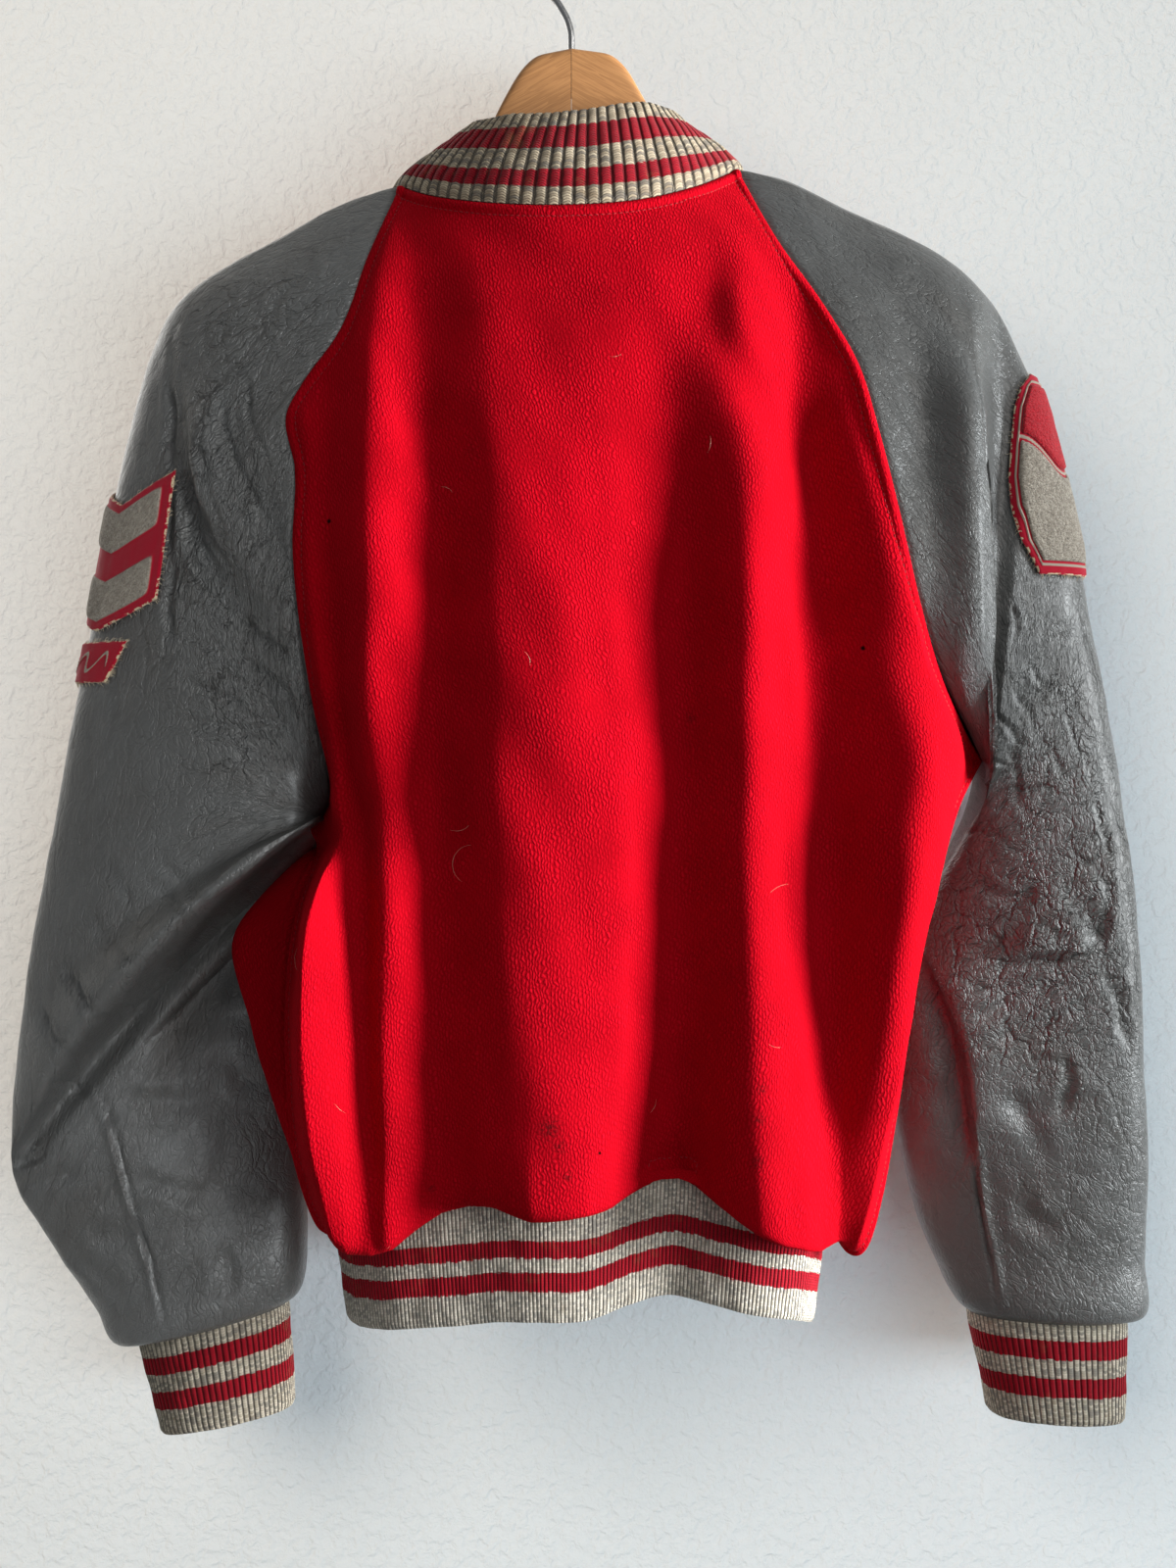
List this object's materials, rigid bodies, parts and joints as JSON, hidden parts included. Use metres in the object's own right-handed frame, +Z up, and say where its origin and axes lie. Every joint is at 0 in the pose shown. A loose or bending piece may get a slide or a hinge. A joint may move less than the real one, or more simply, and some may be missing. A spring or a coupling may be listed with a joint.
{
  "type": "varsity jacket on a hanger",
  "caption": "Wool varsity jacket with leather raglan sleeves and rib-knit collar, cuffs and waistband, hung on a wooden hanger",
  "frame": {"origin": "Inner crown of the hanger's hook, where it rests on a rail", "axes": "+Z up; -Y out of the jacket's back, +Y out of its front; +X towards the wearer's right"},
  "size_m": [0.6349, 0.2043, 0.842],
  "materials": {
    "back": "heavy red wool melton, matt and napped",
    "left_front": "heavy red wool melton, matt and napped",
    "right_front": "heavy red wool melton, matt and napped",
    "left_sleeve": "soft grey leather, semi-gloss, finely creased",
    "right_sleeve": "soft grey leather, semi-gloss, finely creased",
    "collar": "beige-grey heather rib knit with two red stripes",
    "waistband": "beige-grey heather rib knit with two red stripes",
    "left_cuff": "beige-grey heather rib knit with two red stripes",
    "right_cuff": "beige-grey heather rib knit with two red stripes",
    "left_sleeve_patch": "red felt with grey chenille pile",
    "left_sleeve_small_patch": "red felt with grey chenille pile",
    "right_sleeve_patch": "red felt with grey chenille pile",
    "snap_1": "domed snap caps, satin",
    "snap_2": "domed snap caps, satin",
    "snap_3": "domed snap caps, satin",
    "snap_4": "domed snap caps, satin",
    "snap_5": "domed snap caps, satin",
    "snap_6": "domed snap caps, satin",
    "hanger_left": "light lacquered wood",
    "hanger_right": "light lacquered wood",
    "hook": "polished steel wire"
  },
  "bodies": {
    "root": {"back": "back", "left_front": "left_front", "right_front": "right_front", "left_sleeve": "left_sleeve", "right_sleeve": "right_sleeve", "collar": "collar", "waistband": "waistband", "left_cuff": "left_cuff", "right_cuff": "right_cuff", "left_sleeve_patch": "left_sleeve_patch", "left_sleeve_small_patch": "left_sleeve_small_patch", "right_sleeve_patch": "right_sleeve_patch", "snap_1": "snap_1", "snap_2": "snap_2", "snap_3": "snap_3", "snap_4": "snap_4", "snap_5": "snap_5", "snap_6": "snap_6", "hanger_left": "hanger_left", "hanger_right": "hanger_right", "hook": "hook"}
  },
  "joints": []
}
